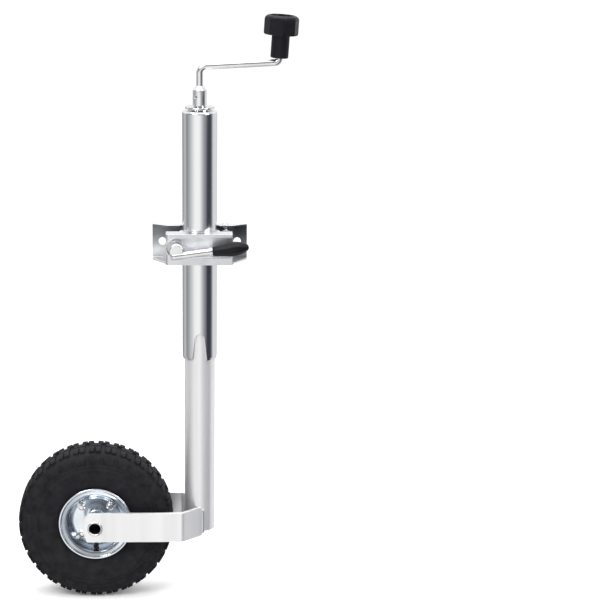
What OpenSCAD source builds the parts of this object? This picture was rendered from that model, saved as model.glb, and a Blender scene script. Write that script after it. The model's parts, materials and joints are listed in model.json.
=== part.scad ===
// Jockey wheel (tongue jack stand) with its split clamp.
// Millimetres, +Z up. The origin is midway between the two bolt holes of the clamp bracket, on its
// rear face. +X is to the right seen from the front, and +Y points into the drawbar.

/* [Tubes] */
// Outside diameter of the outer tube
outer_d = 60; // [58:0.5:62]
// Wall of the outer tube
outer_wall = 3; // [2.5:0.1:3]
// Height of the outer tube's top above the clamp's middle
outer_top = 233; // [225:1:245]
// Depth of the outer tube's lower end below the clamp's middle
outer_bottom = 200; // [190:1:210]
// Outside diameter of the inner tube
inner_d = 53; // [52:0.1:53]
// Wall of the inner tube
inner_wall = 2.5; // [2:0.1:3]
// Depth of the inner tube's lower end below the clamp's middle
inner_bottom = 512; // [505:1:516]
// Length of the inner tube
inner_length = 400; // [390:1:404]
// Half width of the rounded top of the locking notch
notch_r = 8.5; // [8:0.1:10]
// Half width of the notch at the tube's end
notch_mouth = 13; // [11:0.5:14]
// Height of the notch
notch_h = 48; // [44:1:52]

/* [Clamp] */
// Clear gap between the clamp and the sliding tube
slide_gap = 0.3; // [0.3:0.05:0.5]
// Thickness of the bracket plate
plate_t = 4; // [3.5:0.1:5]
// Thickness of the pressed flanges and of the jaw
sheet_t = 3; // [2.5:0.1:3]
// Half width of the bracket across its ears
ear_x = 82; // [80:1:86]
// Half height of the bracket
bracket_z = 31; // [31:1:33]
// Distance between the two bolt holes
hole_pitch = 130; // [128:1:132]
// Diameter of the bolt holes
hole_d = 13; // [11:0.5:13]
// Distance from the tube's axis to the front of the jaw
jaw_front = 45; // [45:1:47]
// Half height of the jaw
jaw_z = 27; // [26:0.5:27]
// Diameter of the clamp bolt
bolt_d = 12; // [10:1:12]
// Diameter of the lever rod
lever_d = 12.6; // [11:0.2:13]
// Length of the bare part of the lever rod, from the bolt's axis
lever_length = 62; // [58:1:66]
// Slope of the lever
lever_angle = 7.6; // [4:0.2:10]
// Length of the lever's grip
grip_length = 62; // [56:1:66]

/* [Crank] */
// Diameter of the crank rod
rod_d = 11.8; // [11:0.1:12]
// Height of the crank arm above the clamp's middle, at the spindle's axis
arm_z = 307.5; // [300:0.5:315]
// Distance from the spindle's axis to the knob's axis
crank_throw = 134; // [120:1:150]
// Upward slope of the arm
arm_rise = 3.3; // [0:0.1:5]
// Outward lean of the knob's axis
knob_lean = 3.5; // [0:0.1:5]
// Width of the knob's eight-sided head across its corners
knob_d = 59.5; // [58:0.5:64]
// Diameter of the knob's stem
knob_stem_d = 30.6; // [28:0.2:34]
// Diameter of the spindle's thread
screw_d = 20; // [18:1:20]

/* [Fork] */
// Height of the flat bar of the arms
arm_h = 53; // [50:1:54]
// Depth of the arms' top edge below the clamp's middle
arm_top = 467; // [465:1:470]
// Thickness of the arms
arm_t = 6; // [5:0.5:6]
// Distance from the tube's axis to the outer faces of the arms
arm_y = 60; // [58:0.5:62]
// Distance from the tube's axis to the axle
trail = 183; // [181:1:186]
// Depth of the axle below the clamp's middle
axle_depth = 495; // [492:1:497]
// Outside diameter of the axle tube
axle_d = 22; // [20:0.5:22]
// Bore of the axle tube
axle_bore = 18; // [14:0.5:18]

/* [Wheel] */
// Outside diameter of the tyre
tyre_d = 272; // [266:1:276]
// Width of the tyre
tyre_w = 84; // [80:1:86]
// Outside diameter of the rim's flanges
rim_d = 130; // [128:1:132]
// Thickness of the rim's sheet
rim_t = 2.5; // [2:0.1:2.5]
// Distance from the wheel's middle to the front face of the wheel disc
disc_y = 11.5; // [9:0.5:13]
// Diameter of the circle of rim bolts
bolt_circle = 70; // [66:1:72]

/* [Hidden] */
$fn = 96;
EPS = 0.05;          // seam between pieces of one body
RUN = 0.08;          // radial running fit
BEND_SWELL = 0.02;   // a rod's bend is this much fuller than its straight lengths
outer_r = outer_d / 2;
outer_in = outer_r - outer_wall;
inner_r = inner_d / 2;
inner_in = inner_r - inner_wall;
inner_top = inner_length - inner_bottom;
axis_y = -(outer_r + slide_gap + plate_t);   // the tube's axis in the part's frame
plate_front = outer_r + slide_gap;           // seen from the tube's axis
grip_r = outer_r + slide_gap;                // saddle of the bracket's flanges
jaw_saddle = outer_r + 1;
jaw_left = -58;
jaw_right = 56;
jaw_corner = 6;
pan_depth = 7;
pan_r = 17;
pan_z = 3;
bolt_x = -39.5;
bolt_z = 1.5;
pin_x = 44;
pin_y = 21.5;
pin_r = 4;
eye_r = 7.5;
eye_z = 22;
lever_y = 62;
lever_drop = 9;
lever_tail = 9;      // lever rod's length behind the bolt's axis
tang_r = 4.5;        // lever rod inside the grip
grip_tip = 12;       // solid end of the grip
pan_floor = jaw_front - pan_depth;           // front face of the recessed panel
washer_t = 3;
washer_back = pan_floor + 0.3;
rod_r = rod_d / 2;
screw_r = screw_d / 2;
journal_r = 8;
journal_gap = 0.4;
low_bend = 11;
high_bend = 7.5;
nut_top = inner_top - 6;
nut_h = 22;
screw_foot = nut_top - nut_h - 12;           // lower end of the thread
stop_in = 6;
arm_nose = -22.5;    // from the axle to the arms' tips
arm_end = -trail + arm_nose;
tube_lip = 20;
cap_t = 10;
race_t = 4.5;
ball_r = 3.2;
ball_ring = 14;
cap_low = outer_top - outer_wall - cap_t;
ball_z = cap_low - race_t - 2.5;
race_low = ball_z - 2.5 - race_t;
cover_low = 3.5;
cover_t = 3.3;
cover_top = outer_top + cover_low + cover_t;
collar_r = 12;
collar_top = 275;
cross_pin_r = 2.5;
cross_pin_z = cover_top + 17;
split_z = cover_top + 24;                    // spindle's end inside the collar
rim_bolt_r = 4;
hub_half = 44;
hub_r = 17;
hub_in = 14;
valve_x = 41.3;      // from the axle to the valve's stem
valve_r = 4.2;
valve_y = 20;        // from the wheel's middle to the valve's foot
valve_foot_l = 9.8;
cap_w = 29;          // from the wheel's middle to the valve's cap
knob_low = 7.2;
knob_neck = 47;
knob_top = 80;
knob_pin_r = 5;
retainer_z = knob_top - 10;

// ---- shared shapes ----

// Points of an arc about c, from angle a0 to a1
function arc(c, r, a0, a1, n = 8) = [
    for (i = [0:n]) let (a = a0 + (a1 - a0) * i / n) c + r * [cos(a), sin(a)]
];

// Places its children on the tube's axis
module on_axis() {
    translate([0, axis_y, 0]) children();
}

// A plate along XZ from its outline, from y = back to y = back - t
module plate_xz(back, t) {
    translate([0, back, 0]) rotate([90, 0, 0]) linear_extrude(t) children();
}

// A cylinder along Y between two places
module rod_along_y(x, z, r, y0, y1) {
    translate([x, y1, z]) rotate([90, 0, 0]) cylinder(h = y1 - y0, r = r);
}

// A ring about Z
module ring(r0, r1, z0, z1) {
    translate([0, 0, z0]) difference() {
        cylinder(h = z1 - z0, r = r1);
        translate([0, 0, -1]) cylinder(h = z1 - z0 + 2, r = r0);
    }
}

// A rounded rectangle with its corner radius made of exact arcs
module rounded_rect(x0, z0, x1, z1, r) {
    translate([x0 + r, z0]) square([x1 - x0 - 2 * r, z1 - z0]);
    translate([x0, z0 + r]) square([x1 - x0, z1 - z0 - 2 * r]);
    for (x = [x0 + r, x1 - r], z = [z0 + r, z1 - r]) translate([x, z]) circle(r);
}

// ---- clamp ----

// Plan of a bracket flange: shallow at the ears and front_y deep in the middle
module bracket_flange(end_y, front_y) {
    polygon([
        [-ear_x, plate_front], [-ear_x, end_y], [jaw_left + 1, front_y],
        [-jaw_left - 1, front_y], [ear_x, end_y], [ear_x, plate_front],
    ]);
}

module clamp_bracket() {
    top_front = 13;
    relief_y = 21;
    low_front = -18;
    color("silver") on_axis() difference() {
        union() {
            plate_xz(plate_front + plate_t, plate_t) square(2 * [ear_x, bracket_z], center = true);
            translate([0, 0, bracket_z - sheet_t]) linear_extrude(sheet_t) difference() {
                bracket_flange(28, top_front);
                circle(grip_r);
                polygon([[-36, 12], [36, 12], [30.8, relief_y], [-30.8, relief_y]]);
            }
            translate([0, 0, -bracket_z]) linear_extrude(sheet_t) difference() {
                bracket_flange(21, low_front);
                circle(grip_r);
                translate([-grip_r, low_front - 1]) square([2 * grip_r, 1 - low_front]);
            }
        }
        for (x = [-1, 1] * hole_pitch / 2)
            rod_along_y(x, 0, hole_d / 2, plate_front - 1, plate_front + plate_t + 1);
        translate([pin_x, pin_y, -bracket_z - 1]) cylinder(h = 2 * bracket_z + 2, r = pin_r + EPS);
    }
}

module hinge_pin() {
    head_r = 6.5;
    head_h = 2.4;
    tail = 7;
    color("gainsboro") on_axis() translate([pin_x, pin_y, 0]) {
        translate([0, 0, -bracket_z - tail]) cylinder(h = 2 * bracket_z + tail + EPS, r = pin_r);
        translate([0, 0, bracket_z + EPS]) cylinder(h = head_h, r1 = head_r, r2 = head_r - 1.5);
    }
}

module hinge_pin_clip() {
    color("dimgray") on_axis() translate([pin_x, pin_y, 0]) {
        ring(pin_r + EPS, 8, -bracket_z - 1.6, -bracket_z - EPS);
        ring(pin_r + EPS, 5.5, -bracket_z - 3.2, -bracket_z - 1.6);
    }
}

module clamp_nut() {
    nut_af = 19;
    nut_t = 10;
    color("silver") on_axis() difference() {
        translate([bolt_x, plate_front - EPS, bolt_z]) rotate([90, 0, 0])
            cylinder(h = nut_t, r = nut_af / sqrt(3), $fn = 6);
        rod_along_y(bolt_x, bolt_z, bolt_d / 2 + RUN, plate_front - nut_t - 1, plate_front + 1);
    }
}

// Plan of a jaw flange, with the two ears that reach round the tube
module jaw_flange() {
    difference() {
        polygon(concat(
            arc([jaw_left + jaw_corner, jaw_corner - jaw_front], jaw_corner, 180, 270),
            [[jaw_right, -jaw_front], [jaw_right, -18], [36, -18], [32.5, -6], [-32.5, -6], [-36, -18],
             [jaw_left, -18]]
        ));
        circle(jaw_saddle);
    }
}

// Outline of the recessed panel, grown by g, closed on the left by a half round
module pan_outline(g = 0) {
    translate([bolt_x, pan_z]) circle(pan_r + g);
    translate([bolt_x, pan_z - pan_r - g]) square([jaw_right - bolt_x, 2 * (pan_r + g)]);
}

module clamp_jaw() {
    bolt_play = 2.5;
    color("silver") on_axis() difference() {
        union() {
            for (z = [-jaw_z, jaw_z - sheet_t]) translate([0, 0, z]) linear_extrude(sheet_t) jaw_flange();
            intersection() {
                plate_xz(sheet_t - jaw_front, sheet_t) rounded_rect(jaw_left, -jaw_z, jaw_right, jaw_z, 2);
                translate([0, 0, -jaw_z]) linear_extrude(2 * jaw_z) polygon(concat(
                    arc([jaw_left + jaw_corner, jaw_corner - jaw_front], jaw_corner, 180, 270),
                    [[jaw_right, -jaw_front], [jaw_right, 0], [jaw_left, 0]]
                ));
            }
            translate([jaw_left, jaw_corner - jaw_front, -jaw_z]) cube([sheet_t, 12, 2 * jaw_z]);
            plate_xz(sheet_t - pan_floor, sheet_t + pan_depth) intersection() {
                pan_outline(sheet_t);
                translate([jaw_left, -jaw_z]) square([jaw_right - jaw_left, 2 * jaw_z]);
            }
            hinge_lug();
        }
        plate_xz(-pan_floor, pan_depth + 1) union() {
            pan_outline();
            translate([bolt_x, pan_z - pan_r]) square([jaw_right - bolt_x + 1, 2 * pan_r]);
        }
        rod_along_y(bolt_x, bolt_z, bolt_d / 2 + bolt_play, -jaw_front, 0);
        translate([pin_x, pin_y, -eye_z - 1]) cylinder(h = 2 * eye_z + 2, r = pin_r + RUN);
    }
}

// The lug that runs back from the jaw's right end and curls round the hinge pin
module hinge_lug() {
    lug_front = -30;
    translate([pin_x, pin_y, -eye_z]) cylinder(h = 2 * eye_z, r = eye_r);
    translate([0, 0, -eye_z]) linear_extrude(2 * eye_z) polygon([
        [pin_x + eye_r, pin_y], [pin_x + eye_r - sheet_t, pin_y], [jaw_right - sheet_t, lug_front],
        [jaw_right - sheet_t, -pan_floor], [jaw_right, -pan_floor], [jaw_right, lug_front],
    ]);
}

module clamp_washer() {
    washer_r = 14.5;
    play = 0.4;
    color("silver") on_axis() difference() {
        rod_along_y(bolt_x, bolt_z, washer_r, -washer_back - washer_t, -washer_back);
        rod_along_y(bolt_x, bolt_z, bolt_d / 2 + play, -washer_back - washer_t - 1, 1 - washer_back);
    }
}

// Puts its children, built along +X, on the lever's own line
module on_lever() {
    on_axis() translate([bolt_x, -lever_y, bolt_z - lever_drop]) rotate([0, -lever_angle, 0]) children();
}

module clamp_bolt() {
    boss_r = 13;
    boss_front = 67;
    chamfer = 2;
    boss_back = washer_back + washer_t + 0.4;
    color("silver") difference() {
        on_axis() {
            rod_along_y(bolt_x, bolt_z, bolt_d / 2, -boss_back - 1, plate_front - 2);
            rod_along_y(bolt_x, bolt_z, boss_r, chamfer - boss_front, -boss_back);
            translate([bolt_x, chamfer - boss_front, bolt_z]) rotate([90, 0, 0])
                cylinder(h = chamfer, r1 = boss_r, r2 = boss_r - chamfer);
        }
        on_lever() rotate([0, 90, 0]) translate([0, 0, -lever_tail])
            cylinder(h = lever_length, r = lever_d / 2 + EPS);
    }
}

module lever_rod() {
    tip = 3;
    r = lever_d / 2;
    color("gainsboro") on_lever() rotate([0, 90, 0]) {
        translate([0, 0, tip - lever_tail]) cylinder(h = lever_length + lever_tail - tip, r = r);
        translate([0, 0, -lever_tail]) cylinder(h = tip, r1 = r - 1.5, r2 = r);
        translate([0, 0, lever_length]) cylinder(h = grip_length - grip_tip, r = tang_r);
    }
}

module lever_ferrule() {
    color("gainsboro") on_lever() rotate([0, 90, 0])
        ring(lever_d / 2 + EPS, lever_d / 2 + 1.4, lever_length - 5, lever_length);
}

module lever_grip() {
    l = grip_length;
    color([0.12, 0.12, 0.14]) on_lever() rotate([0, 90, 0]) translate([0, 0, lever_length + EPS])
        difference() {
            rotate_extrude() polygon([
                [0, 0], [7.4, 0], [8.2, 1], [9, 8], [9.7, 15], [10.7, 22], [12, 30], [12.4, 37],
                [11.9, 43], [10.4, 49], [8, 54.5], [5.6, l - 3], [3.4, l - 0.9], [0, l],
            ]);
            translate([0, 0, -1]) cylinder(h = l - grip_tip + 1, r = tang_r + EPS);
        }
}

// ---- outer tube and bearing ----

// Side view of one locking notch, rounded at its top
module notch_outline() {
    top = notch_h - outer_bottom;
    translate([0, top - notch_r]) circle(notch_r);
    polygon([
        [-notch_mouth, -outer_bottom - 1], [notch_mouth, -outer_bottom - 1],
        [notch_r, top - notch_r], [-notch_r, top - notch_r],
    ]);
}

module outer_tube() {
    shoulder = 4;
    swage = 4;
    color([0.8, 0.82, 0.85]) on_axis() difference() {
        rotate_extrude() polygon(concat(
            [[outer_in, -outer_bottom], [outer_r - 1, -outer_bottom], [outer_r, swage - outer_bottom]],
            arc([outer_r - shoulder, outer_top - shoulder], shoulder, 0, 90),
            [[tube_lip, outer_top], [tube_lip, outer_top - outer_wall], [outer_in, outer_top - outer_wall]]
        ));
        plate_xz(outer_r + 1, 2 * outer_r + 2) notch_outline();
    }
}

module tube_cap() {
    top = outer_top - outer_wall - EPS;
    color("gray") on_axis() ring(journal_r + journal_gap, outer_in - EPS, cap_low, top);
}

// A bearing race with its ball groove
module race(z0) {
    difference() {
        ring(journal_r + journal_gap, 19, z0, z0 + race_t);
        translate([0, 0, ball_z]) rotate_extrude() translate([ball_ring, 0]) circle(ball_r + RUN);
    }
}

module race_upper() {
    color("lightgray") on_axis() race(cap_low - race_t - EPS);
}

module race_lower() {
    color("lightgray") on_axis() race(race_low);
}

module bearing_balls() {
    count = 12;
    color("white") on_axis() translate([0, 0, ball_z]) for (i = [0:count - 1])
        rotate([0, 0, i * 360 / count]) translate([ball_ring, 0, 0]) sphere(ball_r, $fn = 32);
}

module bearing_cover() {
    spigot_r = 19;
    disc_r = 25.3;
    chamfer = 0.8;
    color("silver") on_axis() difference() {
        union() {
            translate([0, 0, outer_top + EPS]) cylinder(h = cover_low, r = spigot_r);
            translate([0, 0, outer_top + cover_low]) cylinder(h = cover_t - chamfer, r = disc_r);
            translate([0, 0, cover_top - chamfer]) cylinder(h = chamfer, r1 = disc_r, r2 = disc_r - chamfer);
        }
        translate([0, 0, outer_top - 1]) cylinder(h = cover_top - outer_top + 2, r = journal_r + journal_gap);
    }
}

// ---- spindle and crank ----

// A cylinder along the cross pin, which reaches l to both sides of the spindle's axis
module across_collar(l, r) {
    translate([0, 0, cross_pin_z]) rotate([0, 0, -35]) rotate([90, 0, 0])
        translate([0, 0, -l]) cylinder(h = 2 * l, r = r);
}

module spindle() {
    shoulder_r = 18;
    shoulder_t = 6;
    color("gray") on_axis() difference() {
        union() {
            translate([0, 0, screw_foot]) cylinder(h = race_low - shoulder_t + 1 - screw_foot, r = screw_r);
            translate([0, 0, race_low - shoulder_t - EPS]) cylinder(h = shoulder_t, r = shoulder_r);
            translate([0, 0, race_low - 1]) cylinder(h = split_z - race_low + 1, r = journal_r);
            translate([0, 0, screw_foot - 6]) cylinder(h = 7, r = stop_in);
        }
        across_collar(collar_r, cross_pin_r + EPS);
    }
}

module spindle_stop() {
    stop_t = 4;
    color("dimgray") on_axis() ring(stop_in + EPS, 14, screw_foot - stop_t, screw_foot - EPS);
}

module crank_collar() {
    low = cover_top + 0.5;
    cone_z = collar_top - 7;
    color("silver") on_axis() difference() {
        union() {
            translate([0, 0, low]) cylinder(h = cone_z - low, r = collar_r);
            translate([0, 0, cone_z]) cylinder(h = collar_top - cone_z, r1 = collar_r, r2 = rod_r + 1.5);
        }
        translate([0, 0, low - 1]) cylinder(h = split_z - low + 1 + EPS, r = journal_r + EPS);
        translate([0, 0, split_z - 1]) cylinder(h = collar_top, r = rod_r + EPS);
        across_collar(collar_r + 1, cross_pin_r + EPS);
    }
}

module crank_pin() {
    color("gray") on_axis() across_collar(collar_r - 0.6, cross_pin_r);
}

// A quarter-like bend in the XZ plane that starts at the origin going up and turns towards +X by a
module bend_to_x(a, r) {
    translate([r, 0, 0]) rotate([90, 0, 0]) rotate([0, 0, 180 - a]) rotate_extrude(angle = a)
        translate([r, 0]) circle(rod_r + BEND_SWELL);
}

// Where the knob's axis crosses the arm's centre line, and the knob's direction
module at_knob() {
    on_axis() translate([crank_throw, 0, arm_z + crank_throw * tan(arm_rise)])
        rotate([0, knob_lean, 0]) children();
}

module crank_rod() {
    low_turn = 90 - arm_rise;
    high_turn = 90 - arm_rise - knob_lean;
    low_cut = low_bend * tan(low_turn / 2);
    high_cut = high_bend * tan(high_turn / 2);
    arm_l = crank_throw / cos(arm_rise);
    lap = 0.3;       // how far the straight lengths run into the bends
    color("gainsboro") {
        on_axis() {
            translate([0, 0, split_z + 0.3]) cylinder(h = arm_z - low_cut - split_z - 0.3 + lap, r = rod_r);
            translate([0, 0, arm_z - low_cut]) bend_to_x(low_turn, low_bend);
            translate([0, 0, arm_z]) rotate([0, 90 - arm_rise, 0])
                translate([0, 0, low_cut - lap])
                    cylinder(h = arm_l - low_cut - high_cut + 2 * lap, r = rod_r);
        }
        at_knob() {
            translate([0, 0, high_cut]) mirror([0, 0, 1]) mirror([1, 0, 0]) bend_to_x(high_turn, high_bend);
            translate([0, 0, high_cut - lap]) cylinder(h = knob_low + 0.5 + lap - high_cut, r = rod_r);
            translate([0, 0, knob_low]) cylinder(h = retainer_z + 3 - knob_low, r = knob_pin_r);
        }
    }
}

module knob_retainer() {
    color("dimgray") at_knob() ring(knob_pin_r + EPS, 8.5, retainer_z + 0.3, retainer_z + 1.8);
}

module knob() {
    dish_r = 20;
    shoulder_r = 9;
    wide = knob_d / 2 + 0.3;
    head_turn = 3;
    color([0.1, 0.1, 0.12]) at_knob() difference() {
        union() {
            rotate_extrude() polygon([
                [0, knob_low + 0.6], [knob_stem_d / 2 - 1, knob_low + 0.6],
                [knob_stem_d / 2, knob_low + 1.6], [knob_stem_d / 2, knob_neck + 1], [0, knob_neck + 1],
            ]);
            intersection() {
                translate([0, 0, knob_neck]) linear_extrude(knob_top - knob_neck)
                    rotate(head_turn) circle(knob_d / 2, $fn = 8);
                rotate_extrude() polygon(concat(
                    [[0, knob_neck - 1], [wide, knob_neck - 1]],
                    arc([wide - shoulder_r, knob_top - shoulder_r], shoulder_r, 0, 90),
                    [[0, knob_top]]
                ));
            }
        }
        translate([0, 0, retainer_z]) cylinder(h = knob_top, r = dish_r);
        translate([0, 0, -1]) cylinder(h = knob_top, r = knob_pin_r + RUN);
        translate([0, 0, knob_low]) cylinder(h = 1, r = rod_r + 0.6);
    }
}

// ---- nut, inner tube and fork ----

module spindle_nut() {
    color("goldenrod") on_axis() ring(screw_r + RUN, inner_in - 0.3, nut_top - nut_h, nut_top);
}

module inner_tube() {
    seam_w = 5;
    seam_depth = 0.5;
    seam_x = -6.5;
    seam_y = sqrt(inner_r * inner_r - seam_x * seam_x) - seam_depth;
    color([0.84, 0.85, 0.87]) on_axis() difference() {
        ring(inner_in, inner_r, -inner_bottom, inner_top);
        translate([seam_x - seam_w / 2, -inner_r - 1, -inner_bottom - 1])
            cube([seam_w, inner_r + 1 - seam_y, inner_length + 2]);
    }
}

module nut_seat() {
    low = nut_top - nut_h - 6;
    color("gray") on_axis() ring(15, inner_in - EPS, low, nut_top - nut_h - 0.3);
}

module nut_circlip() {
    color("dimgray") on_axis() ring(19, inner_in - EPS, nut_top + 0.3, nut_top + 2.3);
}

// Plan of the near arm: straight beside the wheel, then bent in to the tube
module arm_plan() {
    bend_x = -29.5;
    bend_r = 9;
    inner_bend = bend_x - arm_t * tan(22.5);
    centre = [bend_x - bend_r * tan(22.5), bend_r - arm_y];
    polygon(concat(
        [[arm_end, -arm_y]],
        arc(centre, bend_r, 270, 315, 6),
        [[bend_x + arm_y, 0], [inner_bend + arm_y - arm_t, 0]],
        arc(centre, bend_r - arm_t, 315, 270, 6),
        [[arm_end, arm_t - arm_y]]
    ));
}

// Side view of an arm, with its chamfered end beyond the axle
module arm_side() {
    low = -arm_top - arm_h;
    translate([-trail, 0]) polygon([
        [-11, -arm_top], [-18.5, -arm_top - 8], [arm_nose, -axle_depth - 2], [-14.5, low],
        [trail + 40, low], [trail + 40, -arm_top],
    ]);
}

// The near arm of the fork, without its axle hole
module arm_blank() {
    intersection() {
        translate([0, 0, -arm_top - arm_h]) linear_extrude(arm_h) arm_plan();
        plate_xz(0, arm_y + 5) arm_side();
        translate([arm_end - 1, -arm_y - 1, -arm_top - arm_h - 1])
            cube([12 - arm_end, arm_y - 14, arm_h + 2]);
    }
}

module fork_arm() {
    difference() {
        arm_blank();
        rod_along_y(-trail, -axle_depth, axle_d / 2 + EPS, -arm_y - 1, -arm_y + arm_t + 1);
        translate([0, 0, -arm_top - arm_h - 1]) cylinder(h = arm_h + 2, r = inner_r + EPS);
    }
}

module fork_arm_near() {
    color([0.84, 0.85, 0.87]) on_axis() fork_arm();
}

module fork_arm_far() {
    color([0.84, 0.85, 0.87]) on_axis() mirror([0, 1, 0]) fork_arm();
}

// Fillet welds up both sides of each arm's end
module fork_welds() {
    bead_r = 3;
    margin = 4;
    color("darkgray") on_axis() for (side = [0, 1]) mirror([0, side, 0]) difference() {
        for (p = [[5.6, -26.6], [-5.2, -27]]) translate([p.x, p.y, margin - arm_top - arm_h])
            cylinder(h = arm_h - 2 * margin, r = bead_r);
        arm_blank();
        translate([0, 0, -arm_top - arm_h]) cylinder(h = arm_h, r = inner_r + EPS);
    }
}

module axle_tube() {
    lip_t = 2.4;
    lip_r = 13.4;
    color("silver") on_axis() difference() {
        union() {
            rod_along_y(-trail, -axle_depth, axle_d / 2, -arm_y - lip_t, arm_y + lip_t);
            for (y = [-arm_y - lip_t, arm_y + EPS])
                rod_along_y(-trail, -axle_depth, lip_r, y, y + lip_t - EPS);
        }
        rod_along_y(-trail, -axle_depth, axle_bore / 2, -arm_y - lip_t - 1, arm_y + lip_t + 1);
    }
}

// A ring about the wheel's axle between two places along Y
module wheel_ring(r0, r1, y0, y1) {
    difference() {
        rod_along_y(-trail, -axle_depth, r1, y0, y1);
        rod_along_y(-trail, -axle_depth, r0, y0 - 1, y1 + 1);
    }
}

module axle_spacers() {
    gap = 0.4;
    spacer_r = 15.5;
    color("gray") on_axis() {
        wheel_ring(axle_d / 2 + EPS, spacer_r, hub_half + gap, arm_y - arm_t - EPS);
        wheel_ring(axle_d / 2 + EPS, spacer_r, arm_t - arm_y + EPS, -hub_half - gap);
    }
}

// ---- wheel ----

// Turns an outline drawn as (radius, distance in front of the wheel's middle) into a wheel part
module wheel_turned() {
    on_axis() translate([-trail, 0, -axle_depth]) rotate([90, 0, 0]) rotate_extrude() children();
}

// Section of one rim half on the front side: disc, cone, bead seat, flange and rolled edge
module rim_section(disc_front) {
    step_r = 43;
    seat_r = 51;
    flange_w = 30;
    edge_w = 35;
    r = rim_d / 2;
    polygon([
        [hub_r + EPS, disc_front - rim_t], [step_r + 1, disc_front - rim_t], [step_r + 3.4, disc_front + 0.8],
        [seat_r, flange_w - 4], [seat_r + 0.2, flange_w - 1.2], [seat_r + 3.5, flange_w],
        [r - 2, flange_w], [r, flange_w + 2], [r, edge_w - 1.2], [r - 1.2, edge_w], [r - 3.4, edge_w],
        [r - 4.2, edge_w - 1.4], [r - 5.5, flange_w + 3], [seat_r + 6, flange_w + 2.6],
        [seat_r + 2, flange_w + 1], [seat_r - 2.2, flange_w - 4.5], [step_r + 1.5, disc_front + 3.2],
        [step_r - 1, disc_front], [hub_r + EPS, disc_front],
    ]);
}

// Places its children at the valve, with +Z towards the front and +X away from the axle
module at_valve() {
    on_axis() translate([-trail, 0, -axle_depth - valve_x]) rotate([90, 0, 0]) rotate([0, 0, -90]) children();
}

// The foot of the valve, through the front rim's cone, grown by g
module valve_foot(g = 0) {
    translate([0, 0, valve_y]) rotate([0, 90, 0]) cylinder(h = valve_foot_l + 4 * g, r = valve_r + g);
}

module rim_front() {
    color([0.78, 0.82, 0.88]) difference() {
        wheel_turned() rim_section(disc_y);
        rim_bolt_holes();
        at_valve() valve_foot(EPS);
    }
}

module rim_rear() {
    back = disc_y - 2 * rim_t;
    color([0.78, 0.82, 0.88]) difference() {
        wheel_turned() mirror([0, 1]) rim_section(-back);
        rim_bolt_holes();
    }
}

// Places its children, built along -Y, at each rim bolt
module at_rim_bolts() {
    on_axis() for (a = [45:90:315])
        translate([-trail + bolt_circle / 2 * cos(a), 0, -axle_depth + bolt_circle / 2 * sin(a)]) children();
}

module rim_bolt_holes() {
    at_rim_bolts() rod_along_y(0, 0, rim_bolt_r + EPS, -disc_y - 2, disc_y);
}

module rim_bolts() {
    flange_r = 7;
    head_low = 3;
    grip = 12;
    color("silver") at_rim_bolts() {
        rod_along_y(0, 0, rim_bolt_r, -disc_y - 1, grip - disc_y);
        translate([0, -disc_y - EPS, 0]) rotate([90, 0, 0]) cylinder(h = head_low, r = flange_r);
        translate([0, -disc_y - head_low, 0]) rotate([90, 0, 0])
            cylinder(h = 2, r1 = flange_r - 1, r2 = flange_r - 3);
    }
}

module rim_nuts() {
    nut_t = 6;
    nut_r = 6.8;
    back = 2 * rim_t - disc_y + EPS;
    color("silver") at_rim_bolts() difference() {
        translate([0, back + nut_t, 0]) rotate([90, 0, 0]) cylinder(h = nut_t, r = nut_r, $fn = 6);
        rod_along_y(0, 0, rim_bolt_r + EPS, back - 1, back + nut_t + 1);
    }
}

module hub_tube() {
    color("silver") on_axis() wheel_ring(hub_in, hub_r, -hub_half, hub_half);
}

module hub_bushes() {
    bush_l = 22;
    color("ivory") on_axis() for (y = [-hub_half, hub_half - bush_l])
        wheel_ring(axle_d / 2 + RUN, hub_in - EPS, y, y + bush_l);
}

// Half of the tyre's outer section, from the bead to the middle of the tread
function tyre_side(r, w) = [
    [51.4, 21], [51.4, 28], [54, 29.6], [66, 29.8], [70, w * 0.4], [79, w * 0.465], [92, w / 2],
    [104, w / 2 - 0.3], [114, w / 2 - 1.5], [122, w / 2 - 4], [r - 6, w / 2 - 8], [r - 1.5, w * 0.33],
    [r, 20],
];

module tyre() {
    cavity_r = 35.5;
    mouth_w = 44;
    side = tyre_side(tyre_d / 2, tyre_w);
    n = len(side) - 1;
    color([0.09, 0.09, 0.1]) wheel_turned() difference() {
        polygon(concat(side, [for (i = [n:-1:0]) [side[i].x, -side[i].y]]));
        translate([92, 0]) circle(cavity_r);
        translate([50, -mouth_w / 2]) square([30, mouth_w]);
    }
}

module air_tube() {
    tube_r = 33;
    tube_t = 2.5;
    color("black") wheel_turned() translate([90, 0]) difference() {
        circle(tube_r);
        circle(tube_r - tube_t);
    }
}

module valve_stem() {
    color("black") at_valve() {
        valve_foot();
        translate([0, 0, valve_y - valve_r]) cylinder(h = cap_w - valve_y + valve_r, r = 3.4);
    }
}

module valve_cap() {
    color("black") at_valve() translate([0, 0, cap_w + EPS]) cylinder(h = 8, r = valve_r);
}

clamp_bracket();
hinge_pin();
hinge_pin_clip();
clamp_nut();
clamp_jaw();
clamp_washer();
clamp_bolt();
lever_rod();
lever_ferrule();
lever_grip();
outer_tube();
tube_cap();
race_upper();
bearing_balls();
bearing_cover();
race_lower();
spindle();
spindle_stop();
crank_collar();
crank_pin();
crank_rod();
knob_retainer();
knob();
spindle_nut();
inner_tube();
nut_seat();
nut_circlip();
fork_arm_near();
fork_arm_far();
fork_welds();
axle_tube();
axle_spacers();
tyre();
air_tube();
rim_front();
rim_rear();
hub_tube();
hub_bushes();
rim_bolts();
rim_nuts();
valve_stem();
valve_cap();
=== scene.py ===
import json
import math

import bmesh
import bpy
import numpy as np
from mathutils import Matrix, Vector


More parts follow.
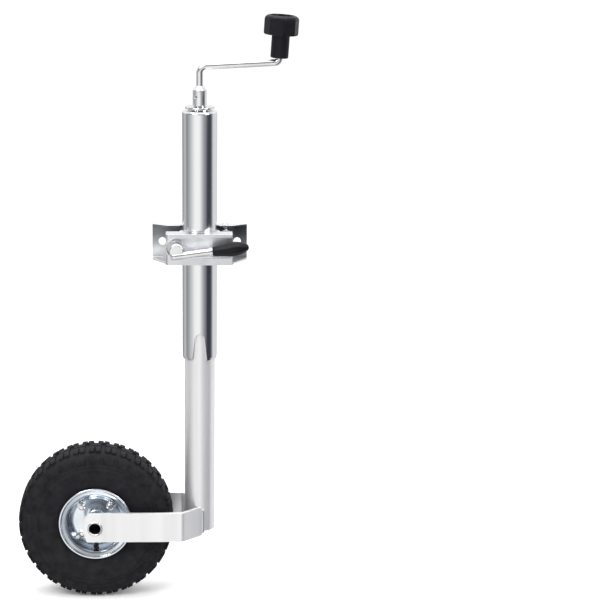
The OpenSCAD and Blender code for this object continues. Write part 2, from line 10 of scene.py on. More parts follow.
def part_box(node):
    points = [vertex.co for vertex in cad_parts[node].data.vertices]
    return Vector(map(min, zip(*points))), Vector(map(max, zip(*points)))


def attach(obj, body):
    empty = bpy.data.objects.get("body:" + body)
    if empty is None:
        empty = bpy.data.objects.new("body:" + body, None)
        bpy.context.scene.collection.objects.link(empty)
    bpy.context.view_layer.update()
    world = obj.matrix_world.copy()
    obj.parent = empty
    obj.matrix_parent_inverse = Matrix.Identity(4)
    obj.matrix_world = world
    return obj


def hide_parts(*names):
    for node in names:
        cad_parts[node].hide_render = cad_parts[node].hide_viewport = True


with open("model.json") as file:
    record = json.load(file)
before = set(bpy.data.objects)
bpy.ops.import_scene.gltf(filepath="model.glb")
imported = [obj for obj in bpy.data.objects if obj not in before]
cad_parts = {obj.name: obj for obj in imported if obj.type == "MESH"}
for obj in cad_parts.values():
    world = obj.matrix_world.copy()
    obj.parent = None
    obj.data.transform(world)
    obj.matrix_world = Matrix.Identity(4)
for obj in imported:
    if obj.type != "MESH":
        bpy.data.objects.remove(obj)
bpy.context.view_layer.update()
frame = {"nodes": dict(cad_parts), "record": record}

MM = 0.001
nodes = frame["nodes"]
slot_of = {part["node"]: part["material_slot"] for part in frame["record"]["subparts"]}
body_of = {node: body for body, names in frame["record"]["behaviour"]["bodies"].items() for node in names}


def middle(node):
    """The middle of a CAD node's box."""
    low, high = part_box(node)
    return (low + high) / 2


tube_axis = middle("outer_tube")
wheel_middle = middle("tyre")
floor_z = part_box("tyre")[0].z


# ---- shader nodes ----

def map_range(tree, value, low, high, to_low=0, to_high=1):
    """Maps low to high onto to_low to to_high, and clamps there."""
    node = tree.nodes.new("ShaderNodeMapRange")
    for socket, number in zip(("From Min", "From Max", "To Min", "To Max"), (low, high, to_low, to_high)):
        node.inputs[socket].default_value = number
    tree.links.new(value, node.inputs["Value"])
    return node.outputs["Result"]


def colour_ramp(tree, value, stops):
    """A colour ramp through (position, colour) stops."""
    node = tree.nodes.new("ShaderNodeValToRGB")
    elements = node.color_ramp.elements
    while len(elements) < len(stops):
        elements.new(0.5)
    for element, (position, colour) in zip(elements, stops):
        element.position = position
        element.color = (*colour, 1)
    tree.links.new(value, node.inputs["Fac"])
    return node.outputs["Color"]


def mixed(tree, factor, first, second):
    """The first colour where factor is 0, the second where it is 1."""
    node = tree.nodes.new("ShaderNodeMix")
    node.data_type = "RGBA"
    for socket, value in zip(("Factor", "A", "B"), (factor, first, second)):
        tree.links.new(value, node.inputs[socket])
    return node.outputs["Result"]


def multiplied(tree, first, second):
    """The product of two colours."""
    node = tree.nodes.new("ShaderNodeMix")
    node.data_type = "RGBA"
    node.blend_type = "MULTIPLY"
    node.inputs["Factor"].default_value = 1
    tree.links.new(first, node.inputs["A"])
    tree.links.new(second, node.inputs["B"])
    return node.outputs["Result"]


# ---- materials ----

class Shade:
    """A procedural material built on one Principled shader, with coordinates in metres."""

    def __init__(self, name, colour, metallic, roughness, **sockets):
        self.material = bpy.data.materials.new(name)
        self.material.use_nodes = True
        self.tree = self.material.node_tree
        self.shader = self.tree.nodes["Principled BSDF"]
        self.place = self.tree.nodes.new("ShaderNodeTexCoord").outputs["Object"]
        self.set("Base Color", (*colour, 1))
        self.set("Metallic", metallic)
        self.set("Roughness", roughness)
        for socket, value in sockets.items():
            self.set(socket.replace("_", " "), value)

    def set(self, socket, value):
        self.shader.inputs[socket].default_value = value

    def link(self, out, socket):
        self.tree.links.new(out, socket)

    def noise(self, scale, detail=3, stretch=(1, 1, 1)):
        """Noise with features about 1 / scale metres wide, drawn out along an axis where stretch is small."""
        mapping = self.tree.nodes.new("ShaderNodeMapping")
        mapping.inputs["Scale"].default_value = [scale * s for s in stretch]
        noise = self.tree.nodes.new("ShaderNodeTexNoise")
        noise.inputs["Scale"].default_value = 1
        noise.inputs["Detail"].default_value = detail
        self.link(self.place, mapping.inputs["Vector"])
        self.link(mapping.outputs["Vector"], noise.inputs["Vector"])
        return noise.outputs["Fac"]

    def spread(self, value, low, high):
        """Maps noise, which lies mostly between 0.3 and 0.7, onto low to high."""
        return map_range(self.tree, value, 0.3, 0.7, low, high)

    def along(self, axis, start, end):
        """0 to 1 between two places on an axis of the object, in metres."""
        split = self.tree.nodes.new("ShaderNodeSeparateXYZ")
        self.link(self.place, split.inputs[0])
        return map_range(self.tree, split.outputs[axis], start, end)

    def colour(self, value, first, second):
        mottled = colour_ramp(self.tree, value, [(0.35, first), (0.65, second)])
        self.link(mottled, self.shader.inputs["Base Color"])

    def rough(self, value, low, high):
        self.link(self.spread(value, low, high), self.shader.inputs["Roughness"])

    def bump(self, value, depth, strength=1.0):
        """Raises the surface by up to depth metres; calls add up."""
        node = self.tree.nodes.new("ShaderNodeBump")
        node.inputs["Distance"].default_value = depth
        node.inputs["Strength"].default_value = strength
        self.link(value, node.inputs["Height"])
        normal = self.shader.inputs["Normal"]
        if normal.links:
            self.link(normal.links[0].from_socket, node.inputs["Normal"])
        self.link(node.outputs["Normal"], normal)


def tinted(colour, factor):
    """The colour, lighter or darker by a factor."""
    return tuple(min(1, c * factor) for c in colour)


def zinc_shade(name, colour, roughness, grain, stretch=(1, 1, 1), grain_depth=2e-6, metallic=1.0):
    """Zinc plating: a faint cloudy tint, a fine grain and a little unevenness in its shine."""
    shade = Shade(name, colour, metallic, roughness)
    shade.colour(shade.noise(38, 4, stretch), tinted(colour, 0.94), tinted(colour, 1.04))
    shade.rough(shade.noise(90, 5, stretch), roughness * 0.85, roughness * 1.2)
    shade.bump(shade.noise(grain, 3, stretch), grain_depth)
    shade.bump(shade.noise(12, 2), 4e-5)
    return shade


def zinc(*look):
    """The material of zinc_shade()."""
    return zinc_shade(*look).material


# Where the bracket's painted shade and reflection lie, in metres in the node's own coordinates
DARK_FROM_Z, DARKEST_Z = -0.014, 0.030
EAR_FROM_X, EAR_DARKEST_X = 0.045, 0.062
# The Y of a face's normal where the painted shade begins to show, and where it shows fully
SHOWS_FROM, SHOWS_FULLY = -0.55, -0.9


def bracket_zinc_with_painted_shade(*look):
    """Pressed zinc with painted shade and reflection on its forward faces: darker towards their top and at
    the right-hand ear.
    """
    shade = zinc_shade("bracket_zinc_with_painted_shade", *look)
    tree = shade.tree
    base = shade.shader.inputs["Base Color"]
    plain = base.links[0].from_socket
    upward = colour_ramp(tree, shade.along("Z", DARK_FROM_Z, DARKEST_Z), [
        (0, (1, 1, 1)), (0.25, (0.6, 0.61, 0.62)), (0.6, (0.3, 0.31, 0.32)), (1, (0.2, 0.205, 0.215)),
    ])
    rightward = colour_ramp(tree, shade.along("X", EAR_FROM_X, EAR_DARKEST_X), [
        (0, (1, 1, 1)), (1, (0.3, 0.31, 0.33)),
    ])
    # Painted shade: the plain zinc colour made darker towards the top and at the right-hand ear
    painted_shade_colour = multiplied(tree, plain, multiplied(tree, upward, rightward))
    normal = tree.nodes.new("ShaderNodeSeparateXYZ")
    shade.link(tree.nodes.new("ShaderNodeNewGeometry").outputs["Normal"], normal.inputs[0])
    forward = map_range(tree, normal.outputs["Y"], SHOWS_FROM, SHOWS_FULLY)
    shade.link(mixed(tree, forward, plain, painted_shade_colour), base)
    return shade.material


def plain_metal(name, colour, roughness):
    """Bare turned or stamped steel, or brass."""
    shade = Shade(name, colour, 1.0, roughness)
    shade.colour(shade.noise(60, 5), tinted(colour, 0.8), tinted(colour, 1.1))
    shade.rough(shade.noise(200, 4), roughness * 0.8, roughness * 1.3)
    shade.bump(shade.noise(900, 2), 3e-6)
    return shade.material


def black_plastic():
    """Moulded plastic with a fine spark-eroded grain."""
    shade = Shade("black_plastic", (0.005, 0.005, 0.008), 0.0, 0.36, Specular_IOR_Level=0.2)
    shade.colour(shade.noise(45, 3), (0.004, 0.004, 0.006), (0.007, 0.007, 0.011))
    shade.rough(shade.noise(140, 4), 0.3, 0.42)
    shade.bump(shade.noise(2600, 2), 1.2e-5, 0.6)
    return shade.material


def nylon():
    """Natural nylon, slightly mottled."""
    shade = Shade("bush_plastic", (0.8, 0.79, 0.72), 0.0, 0.5)
    shade.colour(shade.noise(50, 3), (0.74, 0.73, 0.66), (0.84, 0.83, 0.77))
    shade.rough(shade.noise(200, 3), 0.42, 0.58)
    return shade.material


def rubber(name, colour, roughness):
    """Rubber with a dusty, slightly uneven bloom."""
    shade = Shade(name, colour, 0.0, roughness, Specular_IOR_Level=0.22)
    shade.colour(shade.noise(55, 6), tinted(colour, 0.75), tinted(colour, 1.5))
    shade.rough(shade.noise(160, 5), roughness * 0.88, roughness * 1.12)
    shade.bump(shade.noise(1500, 4), 2.5e-5, 0.7)
    return shade.material


def bore_grease_and_painted_shade():
    """Bare steel inside a tube, coloured very dark: partly grease, partly painted shade for the shadow deep
    in the bore.
    """
    shade = Shade("bore_grease_and_painted_shade", (0.006, 0.006, 0.007), 0.4, 0.6)
    shade.colour(shade.noise(120, 4), (0.004, 0.004, 0.005), (0.012, 0.011, 0.011))
    shade.rough(shade.noise(300, 3), 0.5, 0.75)
    return shade.material


ALONG_Z = (1, 1, 0.02)
materials = {
    "bright_zinc": zinc("bright_zinc", (0.86, 0.87, 0.89), 0.16, 1500, ALONG_Z),
    "satin_zinc": zinc("satin_zinc", (0.9, 0.902, 0.915), 0.4, 1500, ALONG_Z, 4e-6, 0.75),
    "pressed_zinc": zinc("pressed_zinc", (0.82, 0.83, 0.855), 0.36, 1200),
    "rod_zinc": zinc("rod_zinc", (0.86, 0.865, 0.88), 0.22, 1400),
    "rim_zinc": zinc("rim_zinc", (0.81, 0.86, 0.92), 0.12, 1300),
    "plain_steel": plain_metal("plain_steel", (0.5, 0.51, 0.53), 0.34),
    "weld": zinc("weld", (0.70, 0.71, 0.72), 0.36, 700),
    "nut_brass": plain_metal("nut_brass", (0.72, 0.53, 0.24), 0.3),
    "black_plastic": black_plastic(),
    "bush_plastic": nylon(),
    "tyre_rubber": rubber("tyre_rubber", (0.009, 0.009, 0.0112), 0.72),
    "tube_rubber": rubber("tube_rubber", (0.018, 0.018, 0.018), 0.6),
}

for name, node in nodes.items():
    node.data.materials.clear()
    node.data.materials.append(materials[slot_of[name]])
# The bracket's zinc carries painted shade and reflection on its forward faces
nodes["clamp_bracket"].data.materials[0] = bracket_zinc_with_painted_shade((0.86, 0.87, 0.89), 0.34, 1200)


# ---- shared shape code ----

def rounded(outline, radius, steps=4):
    """A closed outline with each corner turned into a curve that starts about this far from it."""
    points = [Vector(p) for p in outline]
    result = []
    for before, corner, after in zip(points[-1:] + points[:-1], points, points[1:] + points[:1]):
        start = corner + (before - corner) * min(0.45, radius / (before - corner).length)
        end = corner + (after - corner) * min(0.45, radius / (after - corner).length)
        for t in np.linspace(0, 1, steps):
            result.append(tuple(start.lerp(corner, t).lerp(corner.lerp(end, t), t)))
    return result


def flattened(sides, share):
    """A shape for revolve(): flats cut into a round section, at share of its radius from the axis."""
    def shape(radius, height, angle):
        off_middle = (angle + math.pi / sides) % (2 * math.pi / sides) - math.pi / sides
        return radius * np.minimum(1, share / np.cos(off_middle))
    return shape


def revolve(profile, place, segments=96, shape=None):
    """Rings of (radius, height) points in millimetres, turned about the Z axis of the matrix place."""
    angle = np.linspace(0, 2 * math.pi, segments, endpoint=False)[None, :]
    radius, height = (column[:, None] + 0 * angle for column in np.array(profile).T)
    if shape:
        radius = shape(radius, height, angle)
    local = np.stack([radius * np.cos(angle), radius * np.sin(angle), height], axis=-1) * MM
    place = np.array(place)
    return local @ place[:3, :3].T + place[:3, 3]


def skin(name, rings, closed=True):
    """A mesh over rings of points. A closed one joins its last ring to its first; others are capped."""
    count, around = rings.shape[:2]
    index = np.arange(count * around).reshape(count, around)
    here, there = (index, np.roll(index, -1, axis=0)) if closed else (index[:-1], index[1:])
    quads = np.stack([here, there, np.roll(there, -1, axis=1), np.roll(here, -1, axis=1)], axis=-1)
    faces = quads.reshape(-1, 4).tolist()
    if not closed:
        faces += [index[0].tolist(), index[-1].tolist()]
    mesh = bpy.data.meshes.new(name)
    mesh.from_pydata(rings.reshape(-1, 3).tolist(), [], faces)
    return mesh


def joined(name, meshes):
    """One mesh of several."""
    bm = bmesh.new()
    for mesh in meshes:
        bm.from_mesh(mesh)
    mesh = bpy.data.meshes.new(name)
    bm.to_mesh(mesh)
    bm.free()
    return mesh


def piece(mesh, node, sharp_angle=34):
    """Shows the mesh, which is in the row frame, instead of a CAD node, with that node's body and finish."""
    bm = bmesh.new()
    bm.from_mesh(mesh)
    bmesh.ops.recalc_face_normals(bm, faces=bm.faces)
    bm.to_mesh(mesh)
    bm.free()
    mesh.materials.append(materials[slot_of[node]])
    mesh.shade_smooth()
    mesh.set_sharp_from_angle(angle=math.radians(sharp_angle))
    made = bpy.data.objects.new(mesh.name, mesh)
    bpy.context.scene.collection.objects.link(made)
    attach(made, body_of[node])
    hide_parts(node)
    return made


def soften(node, width, sharper_than=32):
    """Rounds the edges of a CAD node that its sheet metal or turning leaves soft."""
    thing = nodes[node]
    thing.modifiers.new("merge", "WELD").merge_threshold = 0.01 * MM
    flat = thing.modifiers.new("flat_faces", "DECIMATE")
    flat.decimate_type = "DISSOLVE"
    flat.angle_limit = math.radians(0.6)
    bevel = thing.modifiers.new("edges", "BEVEL")
    bevel.width = width * MM
    bevel.segments = 2
    bevel.limit_method = "ANGLE"
    bevel.angle_limit = math.radians(sharper_than)
    bevel.use_clamp_overlap = False
    thing.modifiers.new("normals", "WEIGHTED_NORMAL").keep_sharp = True


ABOUT_AXLE = Matrix.Translation(wheel_middle) @ Matrix.Rotation(math.pi / 2, 4, "X")   # +Z to the front


# ---- tyre ----

TREAD_PITCHES = 30
TREAD_DEPTH = 3.7
WALL = 0.9            # how far a block's side runs out over its height
CENTRE_W = 7          # half width of the middle row of blocks
LUG_W = 9.5           # where the outer row of blocks starts, from the middle
LUG_LOW_R = 129.3     # radius at the lower edge of the outer row
SLIT_R = 132          # radius at the upper end of the slit in each outer block
BLOCK_R = (112, 125.3)
BLOCK_H = 1.9
RIDGE_R = (101, 108.4)
RIDGE_H = 0.7
# Section at the bottom of the grooves, from the bead to the middle of the tread
GROOVE_SECTION = [
    (51.6, 27.5), (54, 29.4), (66, 29.6), (70, 33), (75, 36.5), (82, 39.4), (90, 41), (98, 41.2),
    (104, 41), (110, 40.2), (116, 38.8), (122, 36.6), (127, 33), (130.3, 28), (131.8, 20), (132.2, 10),
    (132.3, 0),
]
INNER_SECTION = [(51.6, 22), (60, 22), (66, 30), (78, 34), (92, 36), (106, 34.5), (118, 27), (125, 15)]


def plateau(value, start, end, ramp):
    """1 between start and end, falling to 0 over a ramp inside them."""
    return np.clip(np.minimum(value - start, end - value) / ramp, 0, 1)


class TyreSide:
    """Half of the tyre's outside, by the distance along its section from the bead."""

    def __init__(self):
        knots = np.array(GROOVE_SECTION, float)
        steps = np.hypot(*np.diff(knots, axis=0).T)
        along = np.concatenate([[0], np.cumsum(steps)])
        slope = np.gradient(knots, along, axis=0)
        slope[-1] = (0, -1)
        fine = np.linspace(0, along[-1], 400)
        place = np.clip(np.searchsorted(along, fine, side="right") - 1, 0, len(steps) - 1)
        t = ((fine - along[place]) / steps[place])[:, None]
        span = steps[place][:, None]
        self.section = (
            knots[place] * (1 - t) ** 2 * (1 + 2 * t) + knots[place + 1] * t ** 2 * (3 - 2 * t)
            + span * (slope[place] * t * (1 - t) ** 2 - slope[place + 1] * t ** 2 * (1 - t))
        )
        self.along = fine
        tangent = np.gradient(self.section, fine, axis=0)
        self.normal = np.stack([-tangent[:, 1], tangent[:, 0]], axis=-1)
        self.normal /= np.linalg.norm(self.normal, axis=1)[:, None]
        self.middle = fine[-1]
        self.lug_low = self.at_radius(LUG_LOW_R)
        self.lug_top = self.at_width(LUG_W)
        self.slit_top = self.at_radius(SLIT_R)
        self.block = [self.at_radius(r) for r in BLOCK_R]
        self.ridges = [self.at_radius(r) for r in RIDGE_R]

    def at_radius(self, radius):
        return float(np.interp(radius, self.section[:, 0], self.along))

    def at_width(self, width):
        outer = slice(len(self.along) // 2, None)
        return float(np.interp(-width, -self.section[outer, 1], self.along[outer]))

    def rows(self):
        """Where rings of points are needed: at the foot and top of each wall, and between."""
        edges = [0, self.middle]
        zones = [self.block, (self.lug_low, self.lug_top), (self.slit_top, self.lug_top)]
        zones += [(ridge - WALL, ridge + WALL) for ridge in self.ridges]
        zones.append((self.at_width(CENTRE_W), 2 * self.middle))
        for low, high in zones:
            edges += [low, low + WALL, high - WALL, high]
        edges = sorted({round(e, 3) for e in edges if 0 <= e <= self.middle})
        rows = []
        for low, high in zip(edges, edges[1:]):
            longest = 6 if high < self.ridges[0] else 3.2
            rows += list(np.linspace(low, high, max(1, math.ceil((high - low) / longest)), endpoint=False))
        return np.array(rows + [self.middle])

    def height(self, along, phase, centre_phase):
        """How far the tread stands above the groove floor; phase is in pitches from a block's middle."""
        across = plateau(np.abs(phase), -1, 0.375, 0.025)
        slit = np.where(along < self.slit_top + WALL, np.clip(np.abs(phase) / 0.025 - 1, 0, 1), 1)
        lug = plateau(along, self.lug_low, self.lug_top, WALL) * across * slit * TREAD_DEPTH
        block = plateau(along, *self.block, 1.6 * WALL) * across * BLOCK_H
        ridges = sum(plateau(along, ridge - WALL, ridge + WALL, WALL) for ridge in self.ridges) * RIDGE_H
        centre = plateau(along, self.at_width(CENTRE_W), 3 * self.middle, WALL)
        centre = centre * plateau(np.abs(centre_phase), -1, 0.375, 0.025) * TREAD_DEPTH
        return np.maximum.reduce([lug, block, ridges + 0 * phase, centre])

    def rings(self, phase, centre_phase):
        """(radius, distance from the middle) of every point, as rows along the section."""
        rows, phase = np.meshgrid(self.rows(), phase, indexing="ij")
        raised = self.height(rows, phase, centre_phase[None, :])
        lobe = np.clip(((np.abs(phase) - 0.2) / 0.175) ** 2, 0, 1)
        near_edge = np.clip(1 - np.abs(rows - self.lug_low - WALL / 2) / 4, 0, 1)
        rows = rows + 2.2 * lobe * near_edge
        point = [np.interp(rows, self.along, self.section[:, i]) for i in (0, 1)]
        normal = [np.interp(rows, self.along, self.normal[:, i]) for i in (0, 1)]
        return np.stack([p + raised * n for p, n in zip(point, normal)], axis=-1)


def make_tyre():
    """A block-tread tyre. The blocks of its rear half stand half a pitch on from those in front."""
    steps = [0, 0.025, 0.05, 0.125, 0.15, 0.2, 0.25, 0.3, 0.35, 0.375, 0.45, 0.475]
    phase = np.array(sorted([-s for s in steps[1:]] + [-0.5] + steps))
    turns = (np.arange(TREAD_PITCHES)[:, None] + phase).ravel()
    phase = np.tile(phase, TREAD_PITCHES)
    side = TyreSide()
    front = side.rings(phase, phase)
    rear = side.rings((phase + 1) % 1 - 0.5, phase)[-2::-1] * (1, -1)
    inner = np.array([(r, -w) for r, w in INNER_SECTION] + [(r, w) for r, w in reversed(INNER_SECTION)])
    inside = np.broadcast_to(inner[:, None], (len(inner), len(turns), 2))
    section = np.concatenate([front, rear, inside])
    angle = math.pi / 2 + turns * 2 * math.pi / TREAD_PITCHES
    local = np.stack([section[..., 0] * np.cos(angle), section[..., 0] * np.sin(angle), section[..., 1]], -1)
    place = np.array(ABOUT_AXLE)
    piece(skin("tyre_block_tread", local * MM @ place[:3, :3].T + place[:3, 3]), "tyre", 38)


# ---- wheel metal ----

FRONT_DISC_FACE = 11.5      # in millimetres, forwards from the middle of the wheel
REAR_DISC_FACE = -6.5       # the same, but measured rearwards


def make_rim_half(node, disc_front, mirror):
    """A pressed rim half: flat disc, round step, cone, bead seat, flange and rolled edge."""
    hub_r, flange_w, edge_w, edge_r, thick = 17.05, 30, 35, 65, 2.5
    front = [(hub_r, disc_front), (41.5, disc_front), (44.6, disc_front + 3.4), (49, flange_w - 3.8)]
    front += [(52.5, flange_w + 1.4), (58.2, flange_w + 2.6), (60.2, edge_w - 2), (61.2, edge_w)]
    back = [(edge_r, edge_w), (edge_r, flange_w), (54.5, flange_w), (51, flange_w - 4)]
    back += [(46.6, disc_front + 0.6), (44, disc_front - thick), (hub_r, disc_front - thick)]
    profile = rounded(front + back, 2.1, 6)
    if mirror:
        profile = [(r, -w) for r, w in profile]
    piece(skin(node + "_pressed", revolve(profile, ABOUT_AXLE, 144)), node, 50)


def make_rim_bolts():
    """Low domed bolt heads on a round flange, with their shanks through the discs."""
    bolt_circle, face = 70, FRONT_DISC_FACE
    profile = rounded([
        (0.2, -0.5), (4, -0.5), (4, face + 0.05), (7, face + 0.05), (7, face + 1.6),
        (5.8, face + 3.2), (3.6, face + 4.6), (0.2, face + 5),
    ], 0.9)
    heads = []
    for degrees in range(45, 360, 90):
        turn = math.radians(degrees)
        shift = Vector((math.cos(turn), math.sin(turn), 0)) * bolt_circle / 2 * MM
        heads.append(skin("head", revolve(profile, ABOUT_AXLE @ Matrix.Translation(shift), 40)))
    piece(joined("rim_bolts_domed", heads), "rim_bolts")


def make_axle():
    """The hollow axle, with its ends belled over the arms, and its inside coloured dark as grease and painted
    shade.
    """
    low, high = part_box("axle_tube")
    half, bore, tube, lip, lip_t = (high.y - low.y) / 2 / MM, 9, 11, 13.4, 2.4
    profile = [(bore, 0), (bore, half - 2.4), (bore + 1.6, half), (lip - 1.4, half), (lip, half - 1)]
    profile += [(lip, half - lip_t + 0.05), (tube, half - lip_t), (tube, 0)]
    profile += [(r, -w) for r, w in reversed(profile[1:-1])]
    made = piece(skin("axle_tube_belled", revolve(rounded(profile, 0.8), ABOUT_AXLE)), "axle_tube")
    # The bore's faces get the dark material: partly grease, partly painted shade
    made.data.materials.append(bore_grease_and_painted_shade())
    centre = ABOUT_AXLE.translation
    for face in made.data.polygons:
        reach = face.center - centre
        if math.hypot(reach.x, reach.z) < (bore + 0.4) * MM:
            face.material_index = 1


def make_valve_cap():
    """A cap with grooves round its side."""
    low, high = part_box("valve_cap")
    length, radius = (high.y - low.y) / MM, (high.x - low.x) / 2 / MM
    outline = [(0.2, 0), (radius, 0), (radius, length - 1), (radius - 0.8, length), (0.2, length)]
    profile = rounded(outline, 0.6)

    def ribs(r, height, angle):
        return r * (1 - 0.07 * (np.cos(14 * angle) < 0) * (r > radius - 1))

    place = Matrix.Translation((middle("valve_cap").x, high.y, middle("valve_cap").z))
    piece(skin("valve_cap_ribbed", revolve(profile, place @ Matrix.Rotation(math.pi / 2, 4, "X"), 84, ribs)),
          "valve_cap")


# ---- black plastic ----

KNOB_LEAN = math.radians(3.5)
LEVER_ANGLE = math.radians(7.6)


def soft_min(a, b, blend):
    """The smaller of two values, rounded off over blend where they cross."""
    near = np.clip(0.5 + 0.5 * (b - a) / blend, 0, 1)
    return b + (a - b) * near - blend * near * (1 - near)


def make_knob():
    """An eight-sided head with a broad rounded chamfer and a dished top, on a ribbed stem."""
    place = Matrix.Translation(middle("knob_retainer")) @ Matrix.Rotation(KNOB_LEAN, 4, "Y")
    low, neck, top = -63.2, -24.05, 8.95        # heights above the middle of the retaining ring
    corner_r, stem_r, bore, dish_r, dish_z, ribs = 29.75, 15.3, 5.08, 20, -1.05, 24
    shoulder_r = 9
    head_turn = math.radians(3)
    flat_r = corner_r * math.cos(math.pi / 8)
    under = [(bore, low), (stem_r - 1.2, low), (stem_r, low + 1.2), (stem_r, low + 5), (stem_r, neck - 3)]
    under += [(stem_r, neck - 1.2), (stem_r + 1.2, neck)]
    side = [(corner_r - 2.6, neck), (corner_r - 0.8, neck + 0.7), (corner_r, neck + 2.6)]
    side.append((corner_r, neck + 12))
    chamfer = [
        (corner_r - shoulder_r * (1 - math.cos(t)), top - shoulder_r * (1 - math.sin(t)))
        for t in np.linspace(0, 1.5, 14)
    ]
    inside = [(dish_r + 0.3, top - 0.3), (dish_r, top - 1.2), (dish_r - 0.6, dish_z + 2)]
    inside += [(dish_r - 2.6, dish_z), (bore + 0.5, dish_z), (bore, dish_z - 0.5)]

    def shape(radius, height, angle):
        off_flat = (angle - head_turn) % (math.pi / 4) - math.pi / 8
        head = soft_min(radius, flat_r / np.cos(off_flat), 0.9)
        ribbed = radius - 0.45 * (0.5 - 0.5 * np.cos(ribs * angle)) ** 2
        stem = np.where((height > low + 2) & (height < neck - 2), ribbed, radius)
        return np.where((height >= neck - 0.01) & (radius > stem_r + 3), head, stem)

    profile = under + side + chamfer + inside
    piece(skin("knob_moulded", revolve(profile, place, 192, shape)), "knob", 30)


def make_grip():
    """A tapered eight-sided lever grip."""
    place = Matrix.Translation(middle("lever_ferrule")) @ Matrix.Rotation(math.pi / 2 - LEVER_ANGLE, 4, "Y")
    start, length, bore = 2.55, 62, 4.55
    outline = [(6.8, 0), (7.9, 0.5), (8.5, 1.8), (9.1, 8), (9.8, 15), (10.8, 22), (12, 29), (12.45, 35)]
    outline += [(12.3, 40), (11.3, 46), (9.4, 52), (7.2, 56.5), (5.4, 59.5), (3.2, 61.5), (0.3, length)]
    inside = [(0.3, length - 12), (bore, length - 12), (bore, 0)]
    profile = [(r, z + start) for r, z in outline + inside]
    piece(skin("lever_grip_moulded", revolve(profile, place, 96, flattened(8, 0.95))), "lever_grip", 40)


# ---- welds ----

def make_fork_welds():
    """Rippled fillet beads where each arm meets the tube."""
    low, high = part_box("fork_welds")
    bead_r, ripple = 3, 4.2
    half = (high.z - low.z) / 2 / MM
    height = np.arange(-half, half + 0.01, ripple / 6)
    swell = 1 - 0.13 * ((height / ripple) % 1) ** 2
    ends = np.sqrt(np.clip(1 - (np.abs(height) / half) ** 8, 0.02, 1))
    beads = []
    for x in (low.x + bead_r * MM, high.x - bead_r * MM):
        for y in (low.y + bead_r * MM, high.y - bead_r * MM):
            place = Matrix.Translation((x, y, (low.z + high.z) / 2))
            profile = np.stack([bead_r * swell * ends, height], axis=-1)
            beads.append(skin("bead", revolve(profile, place, 20), closed=False))
    piece(joined("fork_weld_beads", beads), "fork_welds", 60)


make_tyre()
make_rim_half("rim_front", FRONT_DISC_FACE, mirror=False)
make_rim_half("rim_rear", REAR_DISC_FACE, mirror=True)
make_rim_bolts()
make_axle()
make_valve_cap()
make_knob()
make_grip()
make_fork_welds()

for node_name, edge in {
    "clamp_bolt": 0.7, "clamp_washer": 0.4, "hinge_pin": 0.5,
    "fork_arm_near": 0.8, "fork_arm_far": 0.8, "lever_ferrule": 0.4, "lever_rod": 0.5,
    "bearing_cover": 0.8, "crank_collar": 0.5, "rim_nuts": 0.4, "axle_spacers": 0.4, "hub_tube": 0.4,
}.items():
    soften(node_name, edge)
soften("clamp_bracket", 0.8)
soften("clamp_jaw", 0.7, sharper_than=85)


# ---- camera, floor and light ----

FOCAL_PIXELS = 2095               # focal length, in pixels of a picture that is FRAME_PIXELS wide
FRAME_PIXELS = 600
PITCH = math.radians(13.3)
YAW = math.radians(2.74)          # the object stands left of the picture's middle
CAMERA_BACK = 3.5422              # from the tube's axis
CAMERA_Z = 0.7392

camera_data = bpy.data.cameras.new("camera")
camera_data.sensor_width = 36
camera_data.lens = FOCAL_PIXELS * camera_data.sensor_width / FRAME_PIXELS
camera_data.clip_end = 200
camera = bpy.data.objects.new("camera", camera_data)
bpy.context.scene.collection.objects.link(camera)
camera.matrix_world = (
    Matrix.Translation((tube_axis.x, tube_axis.y - CAMERA_BACK, CAMERA_Z))
    @ Matrix.Rotation(math.pi / 2 - PITCH, 4, "X")
    @ Matrix.Rotation(-YAW, 4, "Y")
)
bpy.context.scene.camera = camera
bpy.context.scene.view_settings.view_transform = "Standard"


def make_floor():
    """A wide pale floor that stays under the tyre, which reflections look through to the studio."""
    bm = bmesh.new()
    bmesh.ops.create_circle(bm, cap_ends=True, segments=96, radius=40)
    mesh = bpy.data.meshes.new("floor")
    bm.to_mesh(mesh)
    bm.free()
    floor = bpy.data.objects.new("floor", mesh)
    floor.location = (0, 0, floor_z)
    bpy.context.scene.collection.objects.link(floor)
    shade = Shade("floor", (0.93, 0.93, 0.93), 0.0, 0.9, Emission_Color=(1, 1, 1, 1), Emission_Strength=0.12)
    mesh.materials.append(shade.material)
    floor.visible_glossy = False
    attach(floor, "leg")


def area_light(name, place, target, size, power):
    """A white softbox at place that looks at target; size in metres, power in watts."""
    data = bpy.data.lights.new(name, "AREA")
    data.shape = "RECTANGLE"
    data.size, data.size_y = size
    data.energy = power
    light = bpy.data.objects.new(name, data)
    light.location = place
    light.rotation_euler = (Vector(target) - Vector(place)).to_track_quat("-Z", "Y").to_euler()
    bpy.context.scene.collection.objects.link(light)


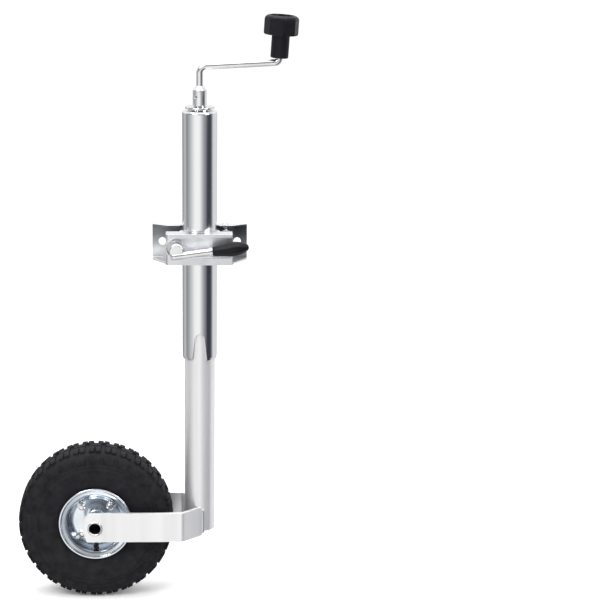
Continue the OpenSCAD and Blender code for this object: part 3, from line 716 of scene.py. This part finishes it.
def studio():
    """A white backdrop, and for reflections a studio that is bright in front and dark at the right."""
    world = bpy.data.worlds.new("studio")
    bpy.context.scene.world = world
    world.use_nodes = True
    tree = world.node_tree
    add, link = tree.nodes.new, tree.links.new

    def math_node(operation, *values):
        node = add("ShaderNodeMath")
        node.operation = operation
        for socket, value in zip(node.inputs, values):
            if isinstance(value, (int, float)):
                socket.default_value = value
            else:
                link(value, socket)
        return node.outputs[0]

    split = add("ShaderNodeSeparateXYZ")
    link(add("ShaderNodeTexCoord").outputs["Generated"], split.inputs[0])
    x, y, z = split.outputs
    # Degrees from the front and degrees above the horizon, both brought onto 0 to 1
    azimuth = math_node("ARCTAN2", x, math_node("MULTIPLY", y, -1))
    turn = math_node("MULTIPLY_ADD", azimuth, 0.5 / math.pi, 0.5)
    height = math_node("MULTIPLY_ADD", math_node("ARCSINE", z), 1 / math.pi, 0.5)

    def grey(level, blue=0.0):
        return (level, level, level * (1 + blue))

    # Brightness round the horizon, by degrees from the front; the right is positive
    around = [
        (-180, grey(0.55)), (-150, grey(0.28)), (-140, grey(0.35)), (-112, grey(0.62)), (-96, grey(0.28)),
        (-84, grey(0.36)), (-64, grey(0.58)), (-46, grey(0.88)), (-32, (1.07, 1.06, 1.03)),
        (-1, (1.07, 1.06, 1.04)), (14, grey(0.66, 0.02)), (28, grey(0.36, 0.06)), (42, grey(0.22, 0.1)),
        (52, grey(0.05, 0.4)), (70, grey(0.03, 0.4)), (84, grey(0.12, 0.2)), (98, grey(0.75, 0.03)),
        (135, grey(0.8)), (180, grey(0.55)),
    ]
    sides = colour_ramp(tree, turn, [(0.5 + degrees / 360, colour) for degrees, colour in around])
    front_levels = [(0.5, grey(0.10)), (0.66, grey(0.16)), (0.78, grey(1.3)), (1.0, grey(1.6))]
    front_sky = colour_ramp(tree, height, front_levels)
    back_sky = colour_ramp(tree, height, [(0.5, grey(0.9)), (1.0, grey(1.3))])
    facing = math_node("MULTIPLY_ADD", y, 1.5, 0.5)          # 0 in front of the object, 1 behind it
    above = mixed(tree, facing, front_sky, back_sky)
    rising = map_range(tree, height, 0.48, 0.54)     # 0 to 1 from just under the horizon to just over it
    reflected = mixed(tree, rising, sides, above)
    backdrop = colour_ramp(tree, height, [(0.5, grey(1.0)), (1.0, grey(0.95))])
    seen_directly = add("ShaderNodeLightPath").outputs["Is Camera Ray"]
    background = tree.nodes["Background"]
    link(mixed(tree, seen_directly, reflected, backdrop), background.inputs["Color"])


make_floor()
studio()
area_light("key", (-1.6, -2.2, 2.2), (0, 0, 0), (1.6, 1.6), 55)
area_light("fill", (2.2, -1.8, 1.2), (0, 0, -0.1), (1.2, 1.6), 26)
area_light("top", (0, 0.3, 3.2), (0, 0, -0.6), (3, 3), 60)
